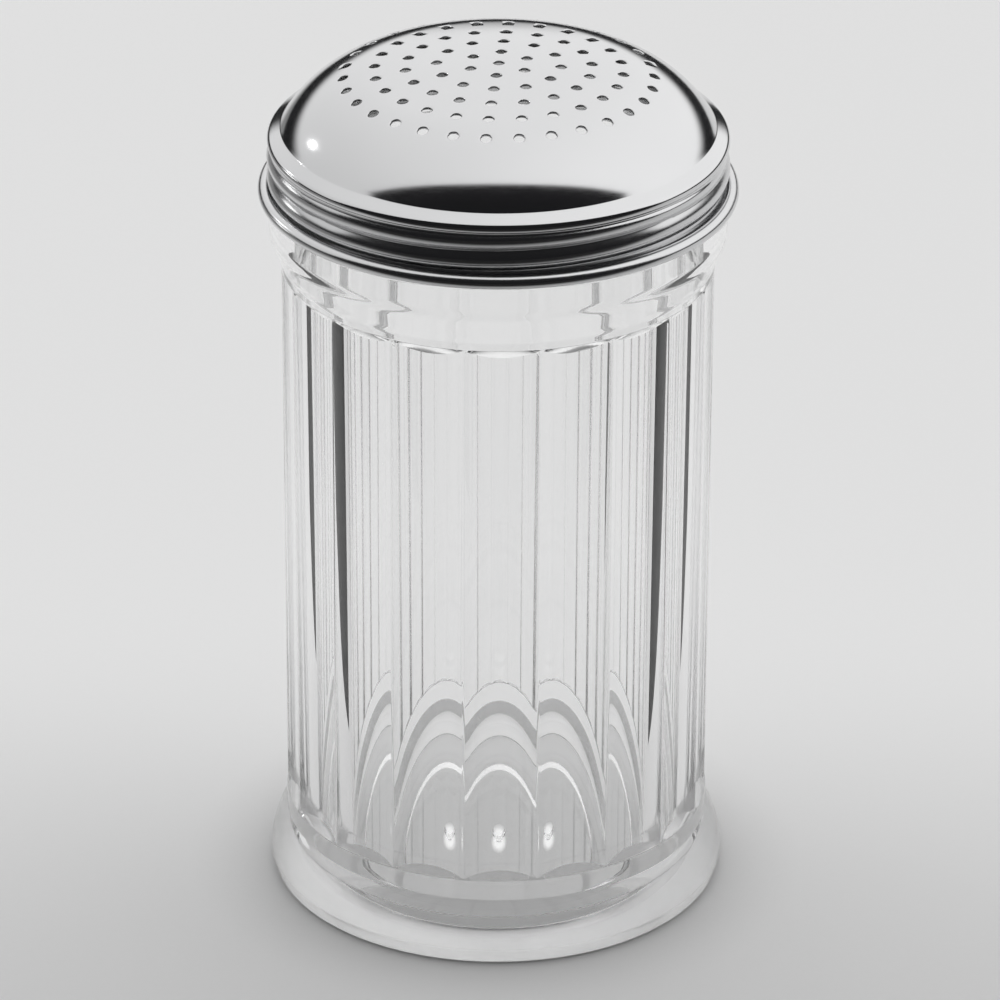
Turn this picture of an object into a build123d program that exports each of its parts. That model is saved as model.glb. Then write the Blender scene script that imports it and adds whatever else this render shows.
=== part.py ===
from build123d import *
import math
import os

# A table spice shaker: a clear fluted jar, a perforated pressed-metal screw lid and the soft seal
# between them. Millimetres, +Z up. The origin is the centre of the face that the jar stands on.
# Every piece is turned about Z, so outlines are half sections: X is the radius and Y the height.

# ---- jar: driving sizes -----------------------------------------------------------------------------
WALL_RADIUS = 34.1           # over the ridges between the flutes
FLUTE_COUNT = 18
FLUTE_RADIUS = 17.0          # hollow of each flute, in plan
FLUTE_TURN = 1.15            # degrees from the front (-Y) towards +X to the middle of a flute
BAND_PROUD = 0.05            # the plain bands stand this much outside the ridges
WALL_THINNEST = 1.3          # left between a flute and the bore, at the top of the flutes
BORE_DRAFT = 0.5             # degrees that the bore narrows towards the floor

FOOT_OVERHANG = 2.85         # the foot's edge stands this far out from the ridges
FOOT_EDGE_HEIGHT = 2.7       # height of that edge
FOOT_BULGE = 0.4             # the flare above it bows out this much from a straight cone
FOOT_FLARE_HEIGHT = 7.8      # from the edge up to the wall
FOOT_UNDERCUT = 0.6          # below the edge the foot draws in this much to the table
FOOT_ROUNDING = 0.6          # of the edge that touches the table
LOWER_BAND_HEIGHT = 3.3      # plain band between the flare and the flutes
FLUTE_LENGTH = 92.7          # along a ridge
FLUTE_LEDGE_RISE = 1.0       # the ledge that ends a flute at the bottom
FLUTE_RUNOUT_DROP = 1.8      # the slope that ends it at the top
UPPER_BAND_HEIGHT = 1.5      # plain band between the flutes and the collar's taper
COLLAR_TAPER_HEIGHT = 4.4
COLLAR_HEIGHT = 5.5
COLLAR_OVERHANG = 1.85       # the collar stands this far out from the ridges
COLLAR_TOP_ROUNDING = 0.4
NECK_OVERHANG = 0.4          # the neck inside the lid, out from the ridges
RIM_WALL = 2.2               # thickness of the neck at the mouth
RIM_ROUNDING = 0.8

FLOOR_THICKNESS = 3.5
FLOOR_CORNER_RADIUS = 3.0    # inside corner between floor and wall
RECESS_RADIUS = 23.0         # shallow recess under the floor
RECESS_DEPTH = 1.5
GATE_RADIUS = 1.2            # nub left by the mould's gate, in the middle of the recess
GATE_HEIGHT = 0.5

# ---- lid: driving sizes -----------------------------------------------------------------------------
LID_GAP = 0.15               # between the rolled rim and the collar under it
LID_HEIGHT = 21.95           # from the rolled rim to the top of the dome
SHEET = 0.4                  # thickness of the pressed sheet
CROWN_RADIUS = 151.6         # the nearly flat middle of the dome
CROWN_REACH = 19.85          # where it passes into the shoulder
SHOULDER_RADIUS = 19.4       # the round shoulder of the dome
SHOULDER_SLOPE = 59.0        # degrees from level where the shoulder ends in the flange
FLANGE_SLOPE = 31.5          # the flange falls this many degrees from the shoulder to the bead
BEAD_RADIUS = 1.0            # turns the flange down into the skirt
BEAD_OVERHANG = 0.3          # the bead stands this far out from the skirt
UNDERCUT_RADIUS = 0.6        # hollow corner under the bead
SKIRT_CLEARANCE = 0.85       # between the neck and the inside of the skirt
CURL_RADIUS = 1.15           # the rolled rim, in section

HOLE_DIAMETER = 1.7
HOLE_SIDES = 8               # each round hole is cut with this many flats
HOLE_RING_PITCH = 4.84       # from one ring of holes to the next
HOLE_RING_COUNT = 5          # rings round the middle hole
HOLES_ADDED_PER_RING = 6
HOLE_PATTERN_TURN = -4.5     # degrees from the front (-Y) towards +X

# ---- seal: driving sizes ----------------------------------------------------------------------------
SEAL_THICKNESS = 1.2
SEAL_WIDTH = 2.9
SEAL_INSET = 0.2             # the seal's outer wall, in from the neck's
SEAL_BEVEL = 0.4             # width of the bevel that lies against the lid's flange
SEAL_CLEARANCE = 0.05        # between the seal and the lid over it, and the rim under it

# ---- steps that stand for each arc of a section -----------------------------------------------------
FINE_STEPS = 2               # small roundings
FLARE_STEPS = 3              # the foot's flare and the floor's corner
SHOULDER_STEPS = 4           # the shoulder, outside the holes
BEAD_STEPS = 3
CURL_STEPS = 8


# ---- shared by the pieces ---------------------------------------------------------------------------
def polar(centre, radius, degrees):
    """Point of a half section, seen from centre: 0 degrees is outward, 90 degrees is up."""
    angle = math.radians(degrees)
    return (centre[0] + radius * math.cos(angle), centre[1] + radius * math.sin(angle))


def stepped(centre, radius, start, end, steps):
    """Points along an arc of a half section. Turned about Z, each step is one short cone."""
    return [polar(centre, radius, start + (end - start) * step / steps) for step in range(steps + 1)]


def turned(points):
    """Solid of revolution about Z of a closed half section."""
    return revolve(Plane.XZ * make_face(Polyline(*points, close=True)), axis=Axis.Z)


# Plan of the flutes: the ridges are where neighbouring hollows meet.
half_pitch = math.pi / FLUTE_COUNT
flute_axis_radius = WALL_RADIUS * math.cos(half_pitch) + math.sqrt(
    FLUTE_RADIUS ** 2 - (WALL_RADIUS * math.sin(half_pitch)) ** 2
)
flute_floor_radius = flute_axis_radius - FLUTE_RADIUS
flute_depth = WALL_RADIUS - flute_floor_radius
band_radius = WALL_RADIUS + BAND_PROUD
foot_radius = WALL_RADIUS + FOOT_OVERHANG
collar_radius = WALL_RADIUS + COLLAR_OVERHANG
neck_radius = WALL_RADIUS + NECK_OVERHANG
mouth_radius = neck_radius - RIM_WALL

# Heights up the jar.
flare_top = FOOT_EDGE_HEIGHT + FOOT_FLARE_HEIGHT
flute_bottom = flare_top + LOWER_BAND_HEIGHT
flute_top = flute_bottom + FLUTE_LENGTH
taper_bottom = flute_top + UPPER_BAND_HEIGHT
taper_top = taper_bottom + COLLAR_TAPER_HEIGHT
collar_top = taper_top + COLLAR_HEIGHT
floor_height = RECESS_DEPTH + FLOOR_THICKNESS

# The lid's section: one centre for each arc of the sheet, outer side.
skirt_radius = neck_radius + SKIRT_CLEARANCE + SHEET
lid_bottom = collar_top + LID_GAP
lid_top = lid_bottom + LID_HEIGHT
crown_angle = math.degrees(math.acos(CROWN_REACH / CROWN_RADIUS))
shoulder_angle = 90 - SHOULDER_SLOPE
flange_angle = 90 - FLANGE_SLOPE
crown_centre = (0, lid_top - CROWN_RADIUS)
shoulder_centre = polar(crown_centre, CROWN_RADIUS - SHOULDER_RADIUS, crown_angle)
flange_start = polar(shoulder_centre, SHOULDER_RADIUS, shoulder_angle)
bead_reach = skirt_radius + BEAD_OVERHANG
bead_top = bead_reach - BEAD_RADIUS + BEAD_RADIUS * math.cos(math.radians(flange_angle))
flange_fall = (bead_top - flange_start[0]) * math.tan(math.radians(FLANGE_SLOPE))
bead_centre = (
    bead_reach - BEAD_RADIUS,
    flange_start[1] - flange_fall - BEAD_RADIUS * math.sin(math.radians(flange_angle)),
)
undercut_angle = math.degrees(
    math.acos((skirt_radius + UNDERCUT_RADIUS - bead_centre[0]) / (BEAD_RADIUS + UNDERCUT_RADIUS))
)
undercut_centre = polar(bead_centre, BEAD_RADIUS + UNDERCUT_RADIUS, -undercut_angle)
curl_centre = (skirt_radius - SHEET + CURL_RADIUS, lid_bottom + CURL_RADIUS)


def flange_corner(depth):
    """Corner between the shoulder and the flange, at a depth in the sheet."""
    bend = math.radians(flange_angle - shoulder_angle) / 2
    return polar(flange_start, -depth / math.cos(bend), (flange_angle + shoulder_angle) / 2)


def under_flange(radius):
    """Height under the lid's flange, at a radius, that leaves the seal its clearance."""
    corner = flange_corner(SHEET + SEAL_CLEARANCE)
    return corner[1] - (radius - corner[0]) * math.tan(math.radians(FLANGE_SLOPE))


# The seal hangs from the flange, and the jar's rim ends under the seal.
seal_outside = neck_radius - SEAL_INSET
seal_top = under_flange(seal_outside - SEAL_BEVEL)
seal_bottom = seal_top - SEAL_THICKNESS
rim_height = seal_bottom - SEAL_CLEARANCE


# ---- jar --------------------------------------------------------------------------------------------
def jar_body():
    """Foot, bands, collar and neck, solid, with a groove where the flutes are."""
    groove_radius = flute_floor_radius - flute_depth
    groove_run = (band_radius - groove_radius) / (band_radius - flute_floor_radius)
    foot_corner = (foot_radius - FOOT_UNDERCUT - FOOT_ROUNDING, FOOT_ROUNDING)
    collar_corner = (collar_radius - COLLAR_TOP_ROUNDING, collar_top - COLLAR_TOP_ROUNDING)
    rim_corner = (neck_radius - RIM_ROUNDING, rim_height - RIM_ROUNDING)
    return turned(
        [(0, 0)]
        + stepped(foot_corner, FOOT_ROUNDING, -90, 0, FINE_STEPS)
        + [(foot_radius, FOOT_EDGE_HEIGHT)]
        + foot_flare()
        + [
            (band_radius, flute_bottom),
            (groove_radius, flute_bottom + FLUTE_LEDGE_RISE * groove_run),
            (groove_radius, flute_top - FLUTE_RUNOUT_DROP * groove_run),
            (band_radius, flute_top),
            (band_radius, taper_bottom),
            (collar_radius, taper_top),
        ]
        + stepped(collar_corner, COLLAR_TOP_ROUNDING, 0, 90, FINE_STEPS)
        + [(neck_radius, collar_top)]
        + stepped(rim_corner, RIM_ROUNDING, 0, 90, FINE_STEPS)
        + [(0, rim_height)]
    )


def foot_flare():
    """Points of the bowed flare from the foot's edge up to the wall, without the edge itself."""
    bow = ThreePointArc(
        (foot_radius, FOOT_EDGE_HEIGHT),
        (
            (foot_radius + band_radius) / 2 + FOOT_BULGE,
            FOOT_EDGE_HEIGHT + FOOT_FLARE_HEIGHT / 2,
        ),
        (band_radius, flare_top),
    )
    points = [bow @ (step / FLARE_STEPS) for step in range(1, FLARE_STEPS + 1)]
    return [(point.X, point.Y) for point in points]


def fluted_wall():
    """Prism with the flutes all round. Its ends lie inside the plain bands."""
    plan = Circle(WALL_RADIUS + flute_depth)
    hollows = PolarLocations(flute_axis_radius, FLUTE_COUNT, start_angle=FLUTE_TURN - 90)
    plan -= hollows * Circle(FLUTE_RADIUS)
    plan = plan.faces().sort_by(Axis.Z).sort_by(SortBy.AREA)[-1]
    start = flute_bottom - LOWER_BAND_HEIGHT / 2
    end = flute_top + UPPER_BAND_HEIGHT / 2
    return Pos(0, 0, start) * extrude(plan, end - start)


def bore():
    """Inside of the jar: drafted down to the rounded floor, opening out in the collar to the mouth."""
    top_radius = flute_floor_radius - WALL_THINNEST
    drafted = (taper_bottom - floor_height) * math.tan(math.radians(BORE_DRAFT))
    floor_corner = (top_radius - drafted - FLOOR_CORNER_RADIUS, floor_height + FLOOR_CORNER_RADIUS)
    lip_centre = (mouth_radius + RIM_ROUNDING, rim_height - RIM_ROUNDING)
    over = rim_height + RIM_ROUNDING
    return turned(
        [(0, floor_height)]
        + stepped(floor_corner, FLOOR_CORNER_RADIUS, -90, 0, FLARE_STEPS)
        + [(top_radius, taper_bottom), (mouth_radius, taper_top)]
        + stepped(lip_centre, RIM_ROUNDING, 180, 90, FINE_STEPS)
        + [(lip_centre[0], over), (0, over)]
    )


def recess():
    """Shallow recess under the floor, round the nub that the gate left."""
    hollow = Cylinder(RECESS_RADIUS, RECESS_DEPTH, align=(Align.CENTER, Align.CENTER, Align.MIN))
    nub = Cylinder(GATE_RADIUS, GATE_HEIGHT, align=(Align.CENTER, Align.CENTER, Align.MAX))
    return hollow - Pos(0, 0, RECESS_DEPTH) * nub


def jar():
    """The whole moulding."""
    return jar_body() + fluted_wall() - bore() - recess()


# ---- lid --------------------------------------------------------------------------------------------
def dome_side(depth):
    """Points of one side of the dome, at a depth in the sheet, from the axis out to the flange."""
    points = [(0, dome_height(0, depth))]
    for ring in range(1, HOLE_RING_COUNT + 1):
        radius = (ring + 0.5) * HOLE_RING_PITCH
        points.append((radius, dome_height(radius, depth)))
    reach = SHOULDER_RADIUS - depth
    start = math.degrees(math.acos((points[-1][0] - shoulder_centre[0]) / reach))
    return points + stepped(shoulder_centre, reach, start, shoulder_angle, SHOULDER_STEPS)[1:-1]


def dome_height(radius, depth):
    """Height of one side of the dome at a radius: crown in the middle, then shoulder."""
    crown = CROWN_RADIUS - depth
    if radius < crown * math.cos(math.radians(crown_angle)):
        return crown_centre[1] + math.sqrt(crown ** 2 - radius ** 2)
    return shoulder_centre[1] + math.sqrt((SHOULDER_RADIUS - depth) ** 2 - (radius - shoulder_centre[0]) ** 2)


def bead_side(depth):
    """Points of one side of the flange, the bead and the hollow corner that runs into the skirt."""
    bead = stepped(bead_centre, BEAD_RADIUS - depth, flange_angle, -undercut_angle, BEAD_STEPS)
    corner = stepped(
        undercut_centre, UNDERCUT_RADIUS + depth, 180 - undercut_angle, 180, FINE_STEPS
    )
    return [flange_corner(depth)] + bead + corner[1:]


def pressed_sheet():
    """Dome, flange, bead, skirt and rolled rim. The rim is rolled shut, so its section is a full disc."""
    outer = dome_side(0) + bead_side(0)
    inner = dome_side(SHEET) + bead_side(SHEET)
    meeting = math.degrees(math.acos((skirt_radius - curl_centre[0]) / CURL_RADIUS))
    roll = stepped(curl_centre, CURL_RADIUS, meeting, -180, CURL_STEPS)
    return turned(outer + roll + inner[::-1])


def hole_places():
    """Centres of the holes in plan: one in the middle, then rings that each gain as many."""
    places = [(0, 0)]
    for ring in range(1, HOLE_RING_COUNT + 1):
        count = ring * HOLES_ADDED_PER_RING
        for index in range(count):
            turn = HOLE_PATTERN_TURN - 90 + 360 * index / count
            places.append(polar((0, 0), ring * HOLE_RING_PITCH, turn))
    return places


def lid():
    """The pressed sheet with its holes punched straight down."""
    plan = RegularPolygon(HOLE_DIAMETER / 2, HOLE_SIDES)
    punch = Pos(0, 0, lid_bottom + LID_HEIGHT / 2) * extrude(plan, LID_HEIGHT)
    return pressed_sheet() - Locations(hole_places()) * punch


# ---- seal -------------------------------------------------------------------------------------------
def lid_seal():
    """Flat soft ring on the jar's rim, bevelled where the lid's flange bears on it."""
    inside = seal_outside - SEAL_WIDTH
    return turned(
        [
            (inside, seal_bottom),
            (seal_outside, seal_bottom),
            (seal_outside, under_flange(seal_outside)),
            (seal_outside - SEAL_BEVEL, seal_top),
            (inside, seal_top),
        ]
    )


os.makedirs("parts", exist_ok=True)
export_step(jar(), "parts/jar.step")
export_step(lid_seal(), "parts/lid_seal.step")
export_step(lid(), "parts/lid.step")
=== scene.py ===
import math

import bpy
import numpy as np
from mathutils import Matrix, Vector


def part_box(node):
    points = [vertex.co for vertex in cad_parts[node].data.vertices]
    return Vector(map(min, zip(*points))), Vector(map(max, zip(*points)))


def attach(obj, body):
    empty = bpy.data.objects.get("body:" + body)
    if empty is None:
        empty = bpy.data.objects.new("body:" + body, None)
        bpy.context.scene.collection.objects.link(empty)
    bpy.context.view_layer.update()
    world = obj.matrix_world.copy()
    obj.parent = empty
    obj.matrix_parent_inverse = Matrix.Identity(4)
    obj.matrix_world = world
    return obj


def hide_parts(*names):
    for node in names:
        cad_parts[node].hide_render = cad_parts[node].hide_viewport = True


# Dressed model of a table spice shaker: a clear fluted jar under a perforated pressed-steel screw lid.
# Metres, +Z up, the origin is the centre of the face that the jar stands on. Sizes below are in
# millimetres and pass through MM. Both pieces are turned, so outlines are drawn as (radius, height).

MM = 0.001
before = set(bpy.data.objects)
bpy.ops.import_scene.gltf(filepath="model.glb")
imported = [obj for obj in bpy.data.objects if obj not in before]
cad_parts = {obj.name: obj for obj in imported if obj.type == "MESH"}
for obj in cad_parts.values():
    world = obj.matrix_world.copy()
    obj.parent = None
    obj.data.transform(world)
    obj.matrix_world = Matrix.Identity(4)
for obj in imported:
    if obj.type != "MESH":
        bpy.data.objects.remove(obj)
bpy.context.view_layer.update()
scene = bpy.context.scene

# ---- camera -----------------------------------------------------------------------------------------
lens = bpy.data.cameras.new("product_camera")
lens.lens = 228.6
lens.sensor_width = 36.0
lens.clip_start = 0.05
lens.clip_end = 20.0
camera = bpy.data.objects.new("product_camera", lens)
scene.collection.objects.link(camera)
camera.matrix_world = (
    Matrix.Translation((0.0, -0.9099, 0.5166))
    @ Matrix.Rotation(math.radians(-0.0275), 4, "Z")
    @ Matrix.Rotation(math.radians(63.573), 4, "X")
    @ Matrix.Rotation(math.radians(0.214), 4, "Z")
)
scene.camera = camera

# ---- sizes of the jar, as in the solid --------------------------------------------------------------
FLUTES = 18
FLUTE_TURN = 1.15            # degrees from the front towards +X
FLUTE_RADIUS = 17.0
RIDGE_RADIUS = 34.1
BAND_RADIUS = 34.15
FOOT_RADIUS = 36.95
FLARE_BOTTOM = 2.95
FLARE_HEIGHT = 7.55
COLLAR_RADIUS = 35.95
NECK_RADIUS = 34.5
MOUTH_RADIUS = 32.3
FLUTE_BOTTOM = 13.8
FLUTE_TOP = 106.5
LEDGE_RISE = 1.0
RUNOUT_DROP = 1.8
TAPER_BOTTOM = 108.0
TAPER_TOP = 112.4
COLLAR_TOP = 117.9
BORE_TOP_RADIUS = 31.22
BORE_BOTTOM_RADIUS = 30.32
BORE_ROUND = 0.4             # where the bore meets the floor
FLOOR_TOP = 5.0
RECESS_RADIUS = 23.0
RECESS_DEPTH = 1.5
RECESS_ROUND = 0.3           # of the recess's inner corner
GATE_DEPTH = 1.25            # of the round gate mark under the floor
GATE_ROUND = 4.2
GATE_ANGLE = 45.0
RIM_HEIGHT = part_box("jar")[1].z / MM

half_pitch = math.pi / FLUTES
flute_axis = RIDGE_RADIUS * math.cos(half_pitch) + math.sqrt(
    FLUTE_RADIUS ** 2 - (RIDGE_RADIUS * math.sin(half_pitch)) ** 2
)
flute_floor = flute_axis - FLUTE_RADIUS

# ---- sizes of the lid, as in the solid --------------------------------------------------------------
SHEET = 0.4
LID_TOP = 139.97
CROWN = 151.6
CROWN_REACH = 19.85          # radius where the crown passes into the shoulder
SHOULDER = 19.4
SHOULDER_LEVEL = 31.0        # degrees above level of the shoulder's normal where it ends
FLANGE_LEVEL = 58.5          # degrees above level of the flange's normal
FLANGE_FILLET = 0.55         # hollow corner between the shoulder and the flange
BEAD = 1.0
SKIRT_RADIUS = 35.75
BEAD_OVERHANG = 0.3
UNDERCUT = 0.6
CURL_TURN = 292.0            # degrees that the rim is rolled round
HOLE_RADIUS = 0.85
HOLE_EDGE = 0.2              # reach of the drawn edge round a hole
HOLE_PITCH = 4.84
HOLE_RINGS = 5
HOLE_TURN = -4.5
THREAD_PITCH = 3.2
LID_THREAD_DEPTH = 0.62
SKIRT_WAIST = 0.22           # how far the skirt is drawn in between the crests
NECK_THREAD_DEPTH = 0.55     # clears the waist when the lid is unscrewed
THREAD_CREST_HEIGHT = 122.35  # of the lid's lower crest at the front

TABLE_SHIFT = 0.19           # metres that the table's middle lies behind the jar


# ---- modelling by hand ------------------------------------------------------------------------------
def polar(centre, radius, degrees):
    """Point of an outline seen from centre: 0 degrees is outward, 90 degrees is up."""
    angle = math.radians(degrees)
    return (centre[0] + radius * math.cos(angle), centre[1] + radius * math.sin(angle))


def start_outline(name, point):
    """A new mesh of one vertex, open in edit mode at the first point of its outline."""
    bpy.ops.object.select_all(action="DESELECT")
    bpy.ops.mesh.primitive_plane_add(size=MM, location=(0.0, 0.0, 0.0))
    piece = bpy.context.object
    piece.name = name
    piece.data.name = name
    bpy.ops.object.mode_set(mode="EDIT")
    bpy.ops.mesh.select_mode(type="VERT")
    bpy.ops.mesh.select_all(action="SELECT")
    bpy.ops.mesh.merge(type="CENTER")
    bpy.ops.transform.translate(value=(point[0] * MM, 0.0, point[1] * MM))
    return [piece, point]


def line(pen, *points):
    """Extrudes the outline's last vertex along straight steps."""
    for point in points:
        step = ((point[0] - pen[1][0]) * MM, 0.0, (point[1] - pen[1][1]) * MM)
        bpy.ops.mesh.extrude_vertices_move(TRANSFORM_OT_translate={"value": step})
        pen[1] = point


def arc(pen, centre, degrees, steps):
    """Spins the outline's last vertex about a centre, anticlockwise where degrees is positive."""
    bpy.ops.mesh.spin(
        steps=steps,
        angle=math.radians(degrees),
        center=(centre[0] * MM, 0.0, centre[1] * MM),
        axis=(0.0, 1.0, 0.0),
    )
    reach = math.dist(centre, pen[1])
    start = math.degrees(math.atan2(pen[1][1] - centre[1], pen[1][0] - centre[0]))
    pen[1] = polar(centre, reach, start + degrees)


def turn(pen, steps):
    """Spins the finished outline round the axis, closes its seam and poles, and leaves edit mode."""
    bpy.ops.mesh.select_all(action="SELECT")
    bpy.ops.mesh.spin(steps=steps, angle=2 * math.pi, center=(0, 0, 0), axis=(0, 0, 1))
    bpy.ops.mesh.select_all(action="SELECT")
    bpy.ops.mesh.remove_doubles(threshold=2e-7)
    bpy.ops.mesh.normals_make_consistent(inside=False)
    bpy.ops.object.mode_set(mode="OBJECT")
    return pen[0]


def points_of(piece):
    """The vertices' places in millimetres, one row each."""
    places = np.empty(len(piece.data.vertices) * 3)
    piece.data.vertices.foreach_get("co", places)
    return places.reshape(-1, 3) / MM


def put_points(piece, places):
    piece.data.vertices.foreach_set("co", (places * MM).ravel())
    piece.data.update()


def move_radius(places, chosen, radius):
    """Moves the chosen points to a new radius, at the same azimuth and height."""
    now = np.hypot(places[chosen, 0], places[chosen, 1])
    places[chosen, :2] *= (radius / now)[:, None]


def apply_all(piece):
    """Applies the piece's modifiers in order."""
    bpy.ops.object.select_all(action="DESELECT")
    piece.select_set(True)
    bpy.context.view_layer.objects.active = piece
    for modifier in list(piece.modifiers):
        bpy.ops.object.modifier_apply(modifier=modifier.name)


def smooth(piece, degrees):
    bpy.ops.object.select_all(action="DESELECT")
    piece.select_set(True)
    bpy.context.view_layer.objects.active = piece
    bpy.ops.object.shade_smooth_by_angle(angle=math.radians(degrees))


def clean(piece):
    """Merges doubles and turns every face outwards."""
    bpy.ops.object.select_all(action="DESELECT")
    piece.select_set(True)
    bpy.context.view_layer.objects.active = piece
    bpy.ops.object.mode_set(mode="EDIT")
    bpy.ops.mesh.select_all(action="SELECT")
    bpy.ops.mesh.remove_doubles(threshold=5e-7)
    bpy.ops.mesh.normals_make_consistent(inside=False)
    bpy.ops.object.mode_set(mode="OBJECT")


def fade(value, start, end):
    """0 before start, 1 after end, and an even slope between them."""
    step = np.clip((value - start) / (end - start), 0.0, 1.0)
    return step * step * (3 - 2 * step)


def thread(places, first, last, half_width, power):
    """How far each point stands up the helical thread, from 0 in the hollows to 1 on the crest. First and
    last say where the crest starts and ends, in turns from the lower crest at the front. A power near 1
    gives full crests with narrow hollows, and 2 gives an even wave."""
    azimuth = np.arctan2(places[:, 0], -places[:, 1]) / (2 * math.pi)
    height = np.zeros(len(places))
    for turns in range(-2, 4):
        along = azimuth + turns
        above = places[:, 2] - THREAD_CREST_HEIGHT - THREAD_PITCH * along
        bump = np.cos(math.pi / 2 * np.clip(above / half_width, -1.0, 1.0)) ** power
        height += bump * fade(along, first - 0.09, first + 0.09) * (1 - fade(along, last - 0.11, last + 0.11))
    return height


# ---- lid --------------------------------------------------------------------------------------------
crown_level = math.degrees(math.acos(CROWN_REACH / CROWN))
crown_centre = (0.0, LID_TOP - CROWN)
shoulder_centre = polar(crown_centre, CROWN - SHOULDER, crown_level)
flange_start = polar(shoulder_centre, SHOULDER, SHOULDER_LEVEL)
flange_slope = math.tan(math.radians(90.0 - FLANGE_LEVEL))
bead_axis = SKIRT_RADIUS + BEAD_OVERHANG - BEAD
bead_top = polar((bead_axis, 0.0), BEAD, FLANGE_LEVEL)
bead_centre = (bead_axis, flange_start[1] - (bead_top[0] - flange_start[0]) * flange_slope - bead_top[1])
# The fillet touches the shoulder's arc from outside and the flange's line from above.
fillet_lift = FLANGE_FILLET / math.cos(math.radians(90.0 - FLANGE_LEVEL))
fillet_level = SHOULDER_LEVEL
for _ in range(40):
    fillet_centre = polar(shoulder_centre, SHOULDER + FLANGE_FILLET, fillet_level)
    wanted = flange_start[1] - (fillet_centre[0] - flange_start[0]) * flange_slope + fillet_lift
    fillet_level += (wanted - fillet_centre[1]) * 2.0
undercut_level = math.degrees(math.acos((SKIRT_RADIUS + UNDERCUT - bead_centre[0]) / (BEAD + UNDERCUT)))
undercut_centre = polar(bead_centre, BEAD + UNDERCUT, -undercut_level)
curl_centre = (SKIRT_RADIUS - SHEET + 1.11, 118.1 + 1.12)


def lid_sheet():
    """The pressed sheet's middle surface: dome, flange, bead, hollow corner, skirt and rolled rim."""
    middle = SHEET / 2
    pen = start_outline("lid_shell", (0.0, LID_TOP - middle))
    arc(pen, crown_centre, crown_level - 90.0, 30)
    arc(pen, shoulder_centre, fillet_level - crown_level, 30)
    arc(pen, fillet_centre, FLANGE_LEVEL - fillet_level, 6)
    start = polar(bead_centre, BEAD - middle, FLANGE_LEVEL)
    first = pen[1]
    for step in range(1, 5):
        line(pen, tuple(a + (b - a) * step / 4 for a, b in zip(first, start)))
    arc(pen, bead_centre, -undercut_level - FLANGE_LEVEL, 14)
    arc(pen, undercut_centre, undercut_level, 6)
    skirt_top = pen[1]
    rows = 52
    for row in range(1, rows + 1):
        height = skirt_top[1] + (curl_centre[1] - skirt_top[1]) * row / rows
        line(pen, (SKIRT_RADIUS - middle, height))
    arc(pen, curl_centre, CURL_TURN, 30)
    return turn(pen, 240)


def roll_thread(sheet):
    """Rolls the helical thread into the skirt."""
    places = points_of(sheet)
    radius = np.hypot(places[:, 0], places[:, 1])
    skirt = (np.abs(radius - (SKIRT_RADIUS - SHEET / 2)) < 0.02) & (places[:, 2] > curl_centre[1] + 0.3)
    zone = 1 - fade(places[:, 2], 126.0, 126.6)
    crests = thread(places, -0.5, 1.2, THREAD_PITCH / 2, 1.15) * LID_THREAD_DEPTH
    shape = (crests - SKIRT_WAIST * fade(places[:, 2], 119.6, 120.6)) * zone
    move_radius(places, skirt, radius[skirt] + shape[skirt])
    put_points(sheet, places)


def hole_places():
    """Place and outward direction of each hole on the dome's outer side."""
    places = [(Vector((0.0, 0.0, LID_TOP)), Vector((0.0, 0.0, 1.0)))]
    for ring in range(1, HOLE_RINGS + 1):
        radius = ring * HOLE_PITCH
        crown_reach = CROWN * math.cos(math.radians(crown_level))
        centre, reach = (crown_centre, CROWN) if radius < crown_reach else (shoulder_centre, SHOULDER)
        height = centre[1] + math.sqrt(reach ** 2 - (radius - centre[0]) ** 2)
        tilt = math.asin((radius - centre[0]) / reach)
        for index in range(6 * ring):
            angle = math.radians(HOLE_TURN - 90) + 2 * math.pi * index / (6 * ring)
            side = Vector((math.cos(angle), math.sin(angle), 0.0))
            places.append(
                (
                    side * radius + Vector((0.0, 0.0, height)),
                    side * math.sin(tilt) + Vector((0.0, 0.0, math.cos(tilt))),
                )
            )
    return places


def punches():
    """One punch, flared at the top so that it leaves a rounded edge, copied to every hole."""
    edge = HOLE_EDGE
    pen = start_outline("punch", (0.0, 0.45))
    line(pen, (HOLE_RADIUS + edge + 0.02, 0.45), (HOLE_RADIUS + edge + 0.02, 0.004))
    line(pen, (HOLE_RADIUS + edge * 0.92, 0.004), (HOLE_RADIUS + edge * 0.5, -edge * 0.13))
    line(pen, (HOLE_RADIUS + edge * 0.134, -edge * 0.5), (HOLE_RADIUS, -edge), (HOLE_RADIUS, -1.6))
    line(pen, (0.0, -1.6))
    first = turn(pen, 24)
    copies = []
    for place, up in hole_places():
        copy = first.copy()
        copy.data = first.data.copy()
        scene.collection.objects.link(copy)
        copy.matrix_world = Matrix.Translation(place * MM) @ up.to_track_quat("Z", "Y").to_matrix().to_4x4()
        copies.append(copy)
    bpy.data.objects.remove(first)
    bpy.ops.object.select_all(action="DESELECT")
    for copy in copies:
        copy.select_set(True)
    bpy.context.view_layer.objects.active = copies[0]
    bpy.ops.object.join()
    tool = bpy.context.object
    tool.name = "punches"
    bpy.ops.object.transform_apply(location=True, rotation=True, scale=True)
    return tool


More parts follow.
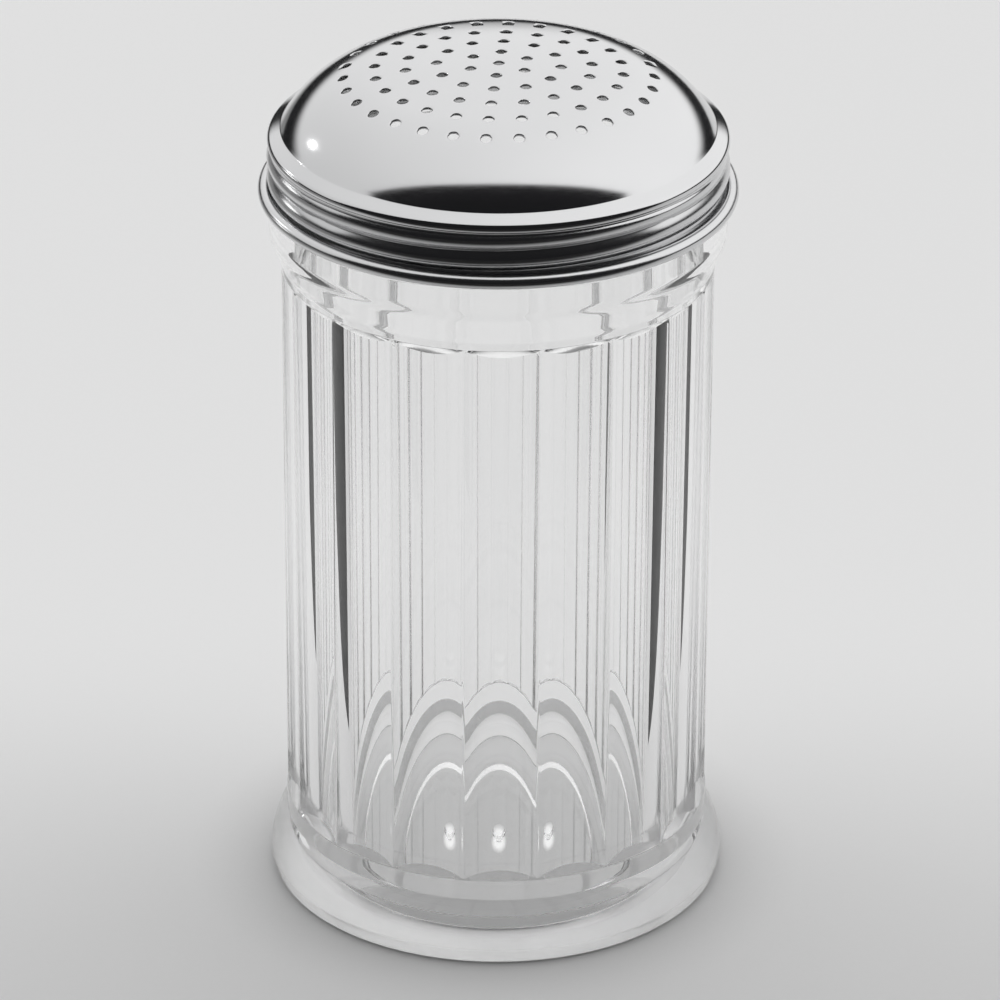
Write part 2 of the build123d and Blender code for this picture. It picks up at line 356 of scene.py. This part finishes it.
def punch_holes(shell):
    """Cuts the holes and keeps the unpunched dome's shading round them."""
    plain = shell.copy()
    plain.data = shell.data.copy()
    scene.collection.objects.link(plain)
    tool = punches()
    cut = shell.modifiers.new("punched holes", "BOOLEAN")
    cut.operation = "DIFFERENCE"
    cut.solver = "MANIFOLD"
    cut.object = tool
    apply_all(shell)
    bpy.data.objects.remove(tool)
    clean(shell)
    smooth(shell, 38)
    smooth(plain, 38)
    places = points_of(shell)
    inside = np.zeros(len(places), bool)
    for place, up in hole_places():
        offset = places - np.array(place)
        along = offset @ np.array(up)
        across = np.sqrt(np.maximum((offset ** 2).sum(1) - along ** 2, 0.0))
        inside |= (across < HOLE_RADIUS + 0.185) & (along < 0.1) & (along > -0.6)
    kept = shell.vertex_groups.new(name="sheet")
    dome = np.hypot(places[:, 0], places[:, 1]) < 30.0
    kept.add([int(i) for i in np.flatnonzero(dome & ~inside)], 1.0, "REPLACE")
    shade = shell.modifiers.new("unpunched shading", "DATA_TRANSFER")
    shade.object = plain
    shade.use_loop_data = True
    shade.data_types_loops = {"CUSTOM_NORMAL"}
    shade.loop_mapping = "POLYINTERP_NEAREST"
    shade.vertex_group = "sheet"
    apply_all(shell)
    shell.vertex_groups.clear()
    bpy.data.objects.remove(plain)


def build_lid():
    shell = lid_sheet()
    roll_thread(shell)
    thick = shell.modifiers.new("sheet thickness", "SOLIDIFY")
    thick.thickness = SHEET * MM
    thick.offset = 0.0
    thick.use_even_offset = True
    apply_all(shell)
    clean(shell)
    punch_holes(shell)
    return shell


# ---- jar --------------------------------------------------------------------------------------------
def jar_blank():
    """The jar before its flutes: one closed outline from under the floor, over the rim and down the bore."""
    pen = start_outline("jar_body", (0.0, RECESS_DEPTH - GATE_DEPTH))
    arc(pen, (0.0, RECESS_DEPTH - GATE_DEPTH + GATE_ROUND), GATE_ANGLE, 8)
    line(pen, (pen[1][0] + 0.15, RECESS_DEPTH - 0.04), (pen[1][0] + 0.4, RECESS_DEPTH), (9.0, RECESS_DEPTH))
    line(pen, (RECESS_RADIUS - RECESS_ROUND, RECESS_DEPTH))
    arc(pen, (RECESS_RADIUS - RECESS_ROUND, RECESS_DEPTH - RECESS_ROUND), -80.0, 5)
    line(pen, (RECESS_RADIUS + 0.1, 0.37))
    arc(pen, (RECESS_RADIUS + 0.5, 0.4), 75.0, 3)
    line(pen, (RECESS_RADIUS + 1.2, 0.0), (35.75, 0.0))
    arc(pen, (35.75, 0.6), 84.0, 6)
    line(pen, (FOOT_RADIUS - 0.12, 2.45))
    arc(pen, (FOOT_RADIUS - 0.45, 2.62), 52.0, 4)
    for step in range(1, 10):
        share = step / 10
        bow = 4 * share * (1 - share)
        radius = FOOT_RADIUS + (BAND_RADIUS - FOOT_RADIUS) * share + 0.4 * bow - 0.05 * (1 - share)
        line(pen, (radius, FLARE_BOTTOM + FLARE_HEIGHT * share))
    line(pen, (BAND_RADIUS + 0.02, 10.3), (BAND_RADIUS, 10.8), (BAND_RADIUS, 12.2))
    line(pen, (BAND_RADIUS, FLUTE_BOTTOM - 0.22), (BAND_RADIUS - 0.06, FLUTE_BOTTOM - 0.05))
    line(pen, (flute_floor, FLUTE_BOTTOM + LEDGE_RISE))
    line(pen, (flute_floor, FLUTE_BOTTOM + LEDGE_RISE + 0.6))
    line(pen, (flute_floor, FLUTE_TOP - RUNOUT_DROP - 0.8))
    line(pen, (flute_floor, FLUTE_TOP - RUNOUT_DROP))
    line(pen, (BAND_RADIUS - 0.06, FLUTE_TOP + 0.05), (BAND_RADIUS, FLUTE_TOP + 0.3))
    line(pen, (BAND_RADIUS, TAPER_BOTTOM - 0.5))
    line(pen, (BAND_RADIUS + 0.08, TAPER_BOTTOM + 0.1))
    line(pen, (COLLAR_RADIUS - 0.4, TAPER_TOP - 0.95), (COLLAR_RADIUS - 0.16, TAPER_TOP - 0.35))
    line(pen, (COLLAR_RADIUS - 0.03, TAPER_TOP + 0.15), (COLLAR_RADIUS, TAPER_TOP + 0.7))
    line(pen, (COLLAR_RADIUS, COLLAR_TOP - 0.4))
    arc(pen, (COLLAR_RADIUS - 0.4, COLLAR_TOP - 0.4), 90.0, 5)
    line(pen, (NECK_RADIUS + 0.3, COLLAR_TOP))
    arc(pen, (NECK_RADIUS + 0.3, COLLAR_TOP + 0.3), -90.0, 4)
    for row in range(1, 37):
        line(pen, (NECK_RADIUS, COLLAR_TOP + 0.3 + (RIM_HEIGHT - 0.8 - COLLAR_TOP - 0.3) * row / 36))
    arc(pen, (NECK_RADIUS - 0.8, RIM_HEIGHT - 0.8), 90.0, 6)
    line(pen, (MOUTH_RADIUS + 0.8, RIM_HEIGHT))
    arc(pen, (MOUTH_RADIUS + 0.8, RIM_HEIGHT - 0.8), 90.0, 6)
    line(pen, (MOUTH_RADIUS, TAPER_TOP + 0.6), (MOUTH_RADIUS - 0.05, TAPER_TOP), (MOUTH_RADIUS - 0.2, TAPER_TOP - 0.6))
    line(pen, (BORE_TOP_RADIUS + 0.2, TAPER_BOTTOM + 0.6), (BORE_TOP_RADIUS + 0.05, TAPER_BOTTOM))
    line(pen, (BORE_TOP_RADIUS, TAPER_BOTTOM - 0.8), (BORE_BOTTOM_RADIUS, FLOOR_TOP + BORE_ROUND))
    arc(pen, (BORE_BOTTOM_RADIUS - BORE_ROUND, FLOOR_TOP + BORE_ROUND), -90.0, 5)
    line(pen, (18.0, FLOOR_TOP), (8.0, FLOOR_TOP), (0.0, FLOOR_TOP))
    return turn(pen, FLUTES * 16)


def press_flutes(blank):
    """Turns the blank so that its columns meet the ridges, then draws the wall in to the flutes."""
    places = points_of(blank)
    turn_by = math.radians(FLUTE_TURN - 90.0)
    cosine, sine = math.cos(turn_by), math.sin(turn_by)
    places[:, :2] = places[:, :2] @ np.array([[cosine, sine], [-sine, cosine]])
    radius = np.hypot(places[:, 0], places[:, 1])
    azimuth = np.arctan2(places[:, 1], places[:, 0]) - turn_by
    across = (azimuth + half_pitch) % (2 * half_pitch) - half_pitch
    surface = flute_axis * np.cos(across) - np.sqrt(FLUTE_RADIUS ** 2 - (flute_axis * np.sin(across)) ** 2)
    wall = (np.abs(radius - flute_floor) < 0.01) & (places[:, 2] > 10.0) & (places[:, 2] < 107.0)
    share = (BAND_RADIUS - surface) / (BAND_RADIUS - flute_floor)
    foot_end = places[:, 2] < 20.0
    rise = np.where(foot_end, LEDGE_RISE, -RUNOUT_DROP) * (share - 1.0)
    places[wall, 2] += rise[wall]
    move_radius(places, wall, surface[wall])
    put_points(blank, places)


def mould_thread(blank):
    """Raises the neck's helical thread, inside the lid's crests."""
    places = points_of(blank)
    radius = np.hypot(places[:, 0], places[:, 1])
    neck = (np.abs(radius - NECK_RADIUS) < 0.01) & (places[:, 2] > COLLAR_TOP + 0.4)
    proud = NECK_THREAD_DEPTH * thread(places, -0.25, 1.05, 0.95, 2.0)
    move_radius(places, neck, radius[neck] + proud[neck])
    put_points(blank, places)


def soften_ridges(blank):
    """Rounds the ridges between the flutes."""
    bpy.ops.object.select_all(action="DESELECT")
    blank.select_set(True)
    bpy.context.view_layer.objects.active = blank
    places = points_of(blank)
    radius = np.hypot(places[:, 0], places[:, 1])
    wall = (places[:, 2] > FLUTE_BOTTOM + 0.01) & (places[:, 2] < FLUTE_TOP - 0.01)
    edges = blank.data.edges
    bpy.ops.object.mode_set(mode="EDIT")
    bpy.ops.mesh.select_all(action="DESELECT")
    bpy.ops.mesh.select_mode(type="EDGE")
    bpy.ops.object.mode_set(mode="OBJECT")
    for edge in edges:
        a, b = edge.vertices
        edge.select = bool(wall[a] and wall[b] and min(radius[a], radius[b]) > RIDGE_RADIUS - 0.01)
    bpy.ops.object.mode_set(mode="EDIT")
    bpy.ops.mesh.bevel(offset=0.3 * MM, offset_type="OFFSET", segments=4, profile=0.5, affect="EDGES")
    bpy.ops.mesh.select_mode(type="VERT")
    bpy.ops.object.mode_set(mode="OBJECT")


def build_jar():
    blank = jar_blank()
    press_flutes(blank)
    mould_thread(blank)
    soften_ridges(blank)
    clean(blank)
    smooth(blank, 32)
    even = blank.modifiers.new("shading by face size", "WEIGHTED_NORMAL")
    even.mode = "FACE_AREA"
    even.weight = 50
    even.keep_sharp = True
    apply_all(blank)
    return blank


# ---- materials --------------------------------------------------------------------------------------
def new_material(name):
    """A node material with its shader, its nodes and a way to link them."""
    material = bpy.data.materials.new(name)
    material.use_nodes = True
    nodes = material.node_tree.nodes
    shader = nodes["Principled BSDF"]
    place = nodes.new("ShaderNodeTexCoord")
    return material, nodes, material.node_tree.links, shader, place


def feed(links, socket, value):
    """Links a socket to another, or sets it to a plain value."""
    if isinstance(value, (float, tuple)):
        socket.default_value = value
    else:
        links.new(value, socket)


def maths(nodes, links, operation, *values):
    """The result of a maths operation on sockets or plain numbers."""
    node = nodes.new("ShaderNodeMath")
    node.operation = operation
    for socket, value in zip(node.inputs, values):
        feed(links, socket, value)
    return node.outputs["Value"]


def blend(nodes, links, factor, first, second):
    """A colour between two others."""
    node = nodes.new("ShaderNodeMix")
    node.data_type = "RGBA"
    for name, value in (("Factor", factor), ("A", first), ("B", second)):
        feed(links, node.inputs[name], value)
    return node.outputs["Result"]


def grey(level):
    return (level, level, level, 1.0)


def noise(nodes, links, place, scale, detail, stretch=(1.0, 1.0, 1.0)):
    """Noise over the piece's own coordinates, in metres, stretched along an axis where it is below 1."""
    mapping = nodes.new("ShaderNodeMapping")
    mapping.inputs["Scale"].default_value = stretch
    links.new(place.outputs["Object"], mapping.inputs["Vector"])
    texture = nodes.new("ShaderNodeTexNoise")
    texture.inputs["Scale"].default_value = scale
    texture.inputs["Detail"].default_value = detail
    links.new(mapping.outputs["Vector"], texture.inputs["Vector"])
    return texture.outputs["Fac"]


def spread(nodes, links, source, low, high, start=0.3, end=0.7, soft=False):
    """Maps start..end of a value to low..high, with eased ends where soft."""
    curve = nodes.new("ShaderNodeMapRange")
    if soft:
        curve.interpolation_type = "SMOOTHSTEP"
    curve.inputs["From Min"].default_value = start
    curve.inputs["From Max"].default_value = end
    curve.inputs["To Min"].default_value = low
    curve.inputs["To Max"].default_value = high
    links.new(source, curve.inputs["Value"])
    return curve.outputs["Result"]


def directions(nodes, links, vector):
    """The X, Y and Z parts of a vector."""
    split = nodes.new("ShaderNodeSeparateXYZ")
    links.new(vector, split.inputs["Vector"])
    return split.outputs["X"], split.outputs["Y"], split.outputs["Z"]


def axis_distance(nodes, links, vector):
    """Distance from the vertical axis, in metres."""
    level = nodes.new("ShaderNodeVectorMath")
    level.operation = "MULTIPLY"
    level.inputs[1].default_value = (1.0, 1.0, 0.0)
    links.new(vector, level.inputs[0])
    reach = nodes.new("ShaderNodeVectorMath")
    reach.operation = "LENGTH"
    links.new(level.outputs["Vector"], reach.inputs[0])
    return reach.outputs["Value"]


def relief(nodes, links, shader, height, strength, depth):
    """Fine relief on the shader's normal, depth in metres."""
    bump = nodes.new("ShaderNodeBump")
    bump.inputs["Strength"].default_value = strength
    bump.inputs["Distance"].default_value = depth
    links.new(height, bump.inputs["Height"])
    links.new(bump.outputs["Normal"], shader.inputs["Normal"])


def clear_plastic():
    """Clear moulded plastic with the faint drag marks of its mould, dull under the foot."""
    material, nodes, links, shader, place = new_material("clear_plastic")
    shader.inputs["Base Color"].default_value = (0.997, 0.998, 0.998, 1.0)
    shader.inputs["Transmission Weight"].default_value = 1.0
    shader.inputs["IOR"].default_value = 1.55
    wear = spread(nodes, links, noise(nodes, links, place, 220.0, 4.0), 0.0, 0.02, 0.45, 0.8)
    height = directions(nodes, links, place.outputs["Object"])[2]
    reach = axis_distance(nodes, links, place.outputs["Object"])
    low = spread(nodes, links, height, 0.33, 0.0, 0.0001, 0.0003)
    within = spread(nodes, links, reach, 1.0, 0.0, 0.0354, 0.0358)
    links.new(maths(nodes, links, "MULTIPLY_ADD", low, within, wear), shader.inputs["Roughness"])
    relief(nodes, links, shader, noise(nodes, links, place, 55.0, 1.0, (1.0, 1.0, 0.12)), 0.25, 0.00003)
    return material


def bright_steel():
    """Polished stamped sheet with a trace of drawing marks and fine handling wear, duller on the rolled skirt."""
    material, nodes, links, shader, place = new_material("bright_steel")
    shader.inputs["Metallic"].default_value = 1.0
    tone = noise(nodes, links, place, 40.0, 3.0)
    colour = blend(nodes, links, tone, (0.64, 0.643, 0.65, 1.0), (0.7, 0.7, 0.705, 1.0))
    links.new(colour, shader.inputs["Base Color"])
    wear = spread(nodes, links, noise(nodes, links, place, 500.0, 5.0, (1.0, 1.0, 6.0)), 0.1, 0.13)
    height = directions(nodes, links, place.outputs["Object"])[2]
    rolled = spread(nodes, links, height, 0.09, 0.0, 0.1262, 0.1272)
    links.new(maths(nodes, links, "ADD", wear, rolled), shader.inputs["Roughness"])
    relief(nodes, links, shader, noise(nodes, links, place, 160.0, 2.0, (1.0, 1.0, 4.0)), 0.08, 0.00002)
    return material


def soft_rubber():
    """Pale flexible seal, slightly mottled."""
    material, nodes, links, shader, place = new_material("soft_seal")
    tone = noise(nodes, links, place, 300.0, 4.0)
    colour = blend(nodes, links, tone, (0.62, 0.62, 0.6, 1.0), (0.72, 0.72, 0.7, 1.0))
    links.new(colour, shader.inputs["Base Color"])
    links.new(spread(nodes, links, tone, 0.5, 0.65), shader.inputs["Roughness"])
    return material


def seen_by(nodes, links, *rays):
    """1 for the named kinds of ray and 0 for the rest."""
    path = nodes.new("ShaderNodeLightPath")
    total = path.outputs[rays[0]]
    for ray in rays[1:]:
        total = maths(nodes, links, "MAXIMUM", total, path.outputs[ray])
    return total


def table_top():
    """Pale matt paper, darker towards the camera by painted shade that stands in for the light falling off. Part of
    its paleness is its own glow, so that it is as pale through the clear jar, and the rest takes the shadow; round the
    foot the glow is darkened by a painted contact shadow. A paler spot of painted light stands in for light under the
    gate mark. Mirrored rays see the paper painted black beyond a line in front and to the left, a painted dark
    reflection."""
    material, nodes, links, shader, place = new_material("pale_table")
    across, deep, _ = directions(nodes, links, place.outputs["Object"])
    # Painted shade: the paper is darker towards the camera, standing in for the light falling off.
    paper = blend(
        nodes, links, spread(nodes, links, deep, 0.0, 1.0, -0.29, -0.11, soft=True), grey(0.44), grey(0.6)
    )
    grain = noise(nodes, links, place, 900.0, 3.0)
    through = seen_by(nodes, links, "Is Transmission Ray")
    # A ray bent by plastic counts as glossy too, so those are taken off to leave the mirrored ones.
    mirrored = maths(nodes, links, "SUBTRACT", seen_by(nodes, links, "Is Glossy Ray"), through)
    mirrored.node.use_clamp = True
    # Painted dark reflection: in mirrored rays the paper is black in front of the jar and to its left.
    outer = maths(
        nodes,
        links,
        "MAXIMUM",
        spread(nodes, links, deep, 0.97, 0.0, -0.37, -0.25),
        spread(nodes, links, across, 0.7, 0.0, -0.34, -0.16),
    )
    far = maths(nodes, links, "MULTIPLY", outer, mirrored)
    colour = blend(nodes, links, far, paper, grey(0.0))
    links.new(colour, shader.inputs["Base Color"])
    links.new(colour, shader.inputs["Emission Color"])
    # Painted contact shadow: ambient occlusion darkens the paper's glow round the foot, except seen through the
    # plastic.
    painted_contact_shadow = nodes.new("ShaderNodeAmbientOcclusion")
    painted_contact_shadow.samples = 8
    painted_contact_shadow.inputs["Distance"].default_value = 0.014
    glow_under_painted_shadow = spread(nodes, links, painted_contact_shadow.outputs["AO"], 0.1, 0.48, 0.3, 1.0)
    lift = maths(nodes, links, "MULTIPLY", through, 0.48)
    direct = maths(
        nodes,
        links,
        "MULTIPLY",
        seen_by(nodes, links, "Is Camera Ray", "Is Glossy Ray", "Is Transmission Ray"),
        maths(nodes, links, "MAXIMUM", glow_under_painted_shadow, lift),
    )
    middle = nodes.new("ShaderNodeVectorMath")
    middle.operation = "ADD"
    middle.inputs[1].default_value = (0.0, TABLE_SHIFT, 0.0)
    links.new(place.outputs["Object"], middle.inputs[0])
    reach = axis_distance(nodes, links, middle.outputs["Vector"])
    # Painted light: a paler glowing spot under the gate mark, seen only through the plastic.
    spot = spread(nodes, links, reach, 1.1, 0.06, 0.002, 0.004)
    links.new(maths(nodes, links, "MULTIPLY_ADD", through, spot, direct), shader.inputs["Emission Strength"])
    links.new(spread(nodes, links, grain, 0.55, 0.7), shader.inputs["Roughness"])
    shader.inputs["Specular IOR Level"].default_value = 0.2
    return material


def dark_card():
    """Matt dark card, faintly fibrous."""
    material, nodes, links, shader, place = new_material("dark_card")
    fibre = noise(nodes, links, place, 60.0, 3.0)
    links.new(blend(nodes, links, fibre, grey(0.07), grey(0.1)), shader.inputs["Base Color"])
    shader.inputs["Roughness"].default_value = 0.9
    return material


# ---- build ------------------------------------------------------------------------------------------
def finish(piece, material):
    """Gives the whole piece one material."""
    piece.data.materials.clear()
    piece.data.materials.append(material)
    piece.data.polygons.foreach_set("material_index", [0] * len(piece.data.polygons))


lid = build_lid()
finish(lid, bright_steel())
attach(lid, "lid")
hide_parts("lid")

jar = build_jar()
finish(jar, clear_plastic())
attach(jar, "jar")
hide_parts("jar")

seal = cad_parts["lid_seal"]
finish(seal, soft_rubber())

# ---- table and light --------------------------------------------------------------------------------
bpy.ops.object.select_all(action="DESELECT")
bpy.ops.mesh.primitive_plane_add(size=2.4, location=(0.0, TABLE_SHIFT, -0.0002))
table = bpy.context.object
table.name = "table"
table.data.materials.append(table_top())


def side_card(name, near, far, height):
    """A dark card on edge beside the jar, seen only through clear plastic, whose edges it draws: it casts no shadow
    and shows in no mirror, and paints dark streaks into the plastic, a painted dark reflection.
    """
    middle = [(a + b) / 2 for a, b in zip(near, far)]
    bpy.ops.object.select_all(action="DESELECT")
    bpy.ops.mesh.primitive_plane_add(
        size=1.0,
        location=(middle[0], middle[1], height / 2),
        rotation=(math.pi / 2, 0.0, math.atan2(far[1] - near[1], far[0] - near[0])),
    )
    card = bpy.context.object
    card.name = name
    card.scale = (math.dist(near, far), height, 1.0)
    card.data.materials.append(dark_card())
    card.visible_camera = False
    card.visible_diffuse = False
    card.visible_glossy = False
    card.visible_shadow = False


# Painted dark streaks in the clear plastic: cards seen only through it.
side_card("left_card", (-0.083, -0.014), (-0.133, 0.076), 0.1)
side_card("right_card", (0.078, -0.012), (0.128, 0.079), 0.1)


def softbox(name, place, aim, width, height, power):
    """An area light at place that faces aim."""
    light = bpy.data.lights.new(name, "AREA")
    light.shape = "ELLIPSE"
    light.size = width
    light.size_y = height
    light.energy = power
    lamp = bpy.data.objects.new(name, light)
    scene.collection.objects.link(lamp)
    lamp.location = place
    lamp.rotation_euler = (Vector(aim) - Vector(place)).to_track_quat("-Z", "Y").to_euler()
    return lamp


softbox("front_left_lamp", (-1.16, 0.79, 0.62), (0.0, 0.0, 0.13), 0.055, 0.055, 0.35)
softbox("low_left_lamp", (-1.05, 0.55, 0.15), (0.0, 0.0, 0.12), 0.3, 0.12, 0.25)


def studio_tent():
    """Even white cloth overhead and behind, open to a dark room low down and on the camera's side."""
    world = bpy.data.worlds.new("studio_tent")
    world.use_nodes = True
    nodes, links = world.node_tree.nodes, world.node_tree.links
    place = nodes.new("ShaderNodeTexCoord")
    across, deep, up = directions(nodes, links, place.outputs["Generated"])
    behind = maths(nodes, links, "MULTIPLY_ADD", up, 0.445, deep)
    cloth = None
    for source, low, high in ((up, 0.07, 0.2), (behind, -0.04, 0.02), (across, -4.5, 1.2)):
        edge = spread(nodes, links, source, 0.0, 1.0, low, high, soft=True)
        cloth = edge if cloth is None else maths(nodes, links, "MULTIPLY", cloth, edge)
    tent = blend(nodes, links, cloth, (0.012, 0.012, 0.013, 1.0), grey(1.0))
    room = blend(nodes, links, seen_by(nodes, links, "Is Camera Ray"), tent, grey(0.62))
    links.new(room, nodes["Background"].inputs["Color"])
    nodes["Background"].inputs["Strength"].default_value = 1.17
    return world


scene.world = studio_tent()

scene.view_settings.view_transform = "Standard"
scene.cycles.max_bounces = 32
scene.cycles.glossy_bounces = 24
scene.cycles.transmission_bounces = 32
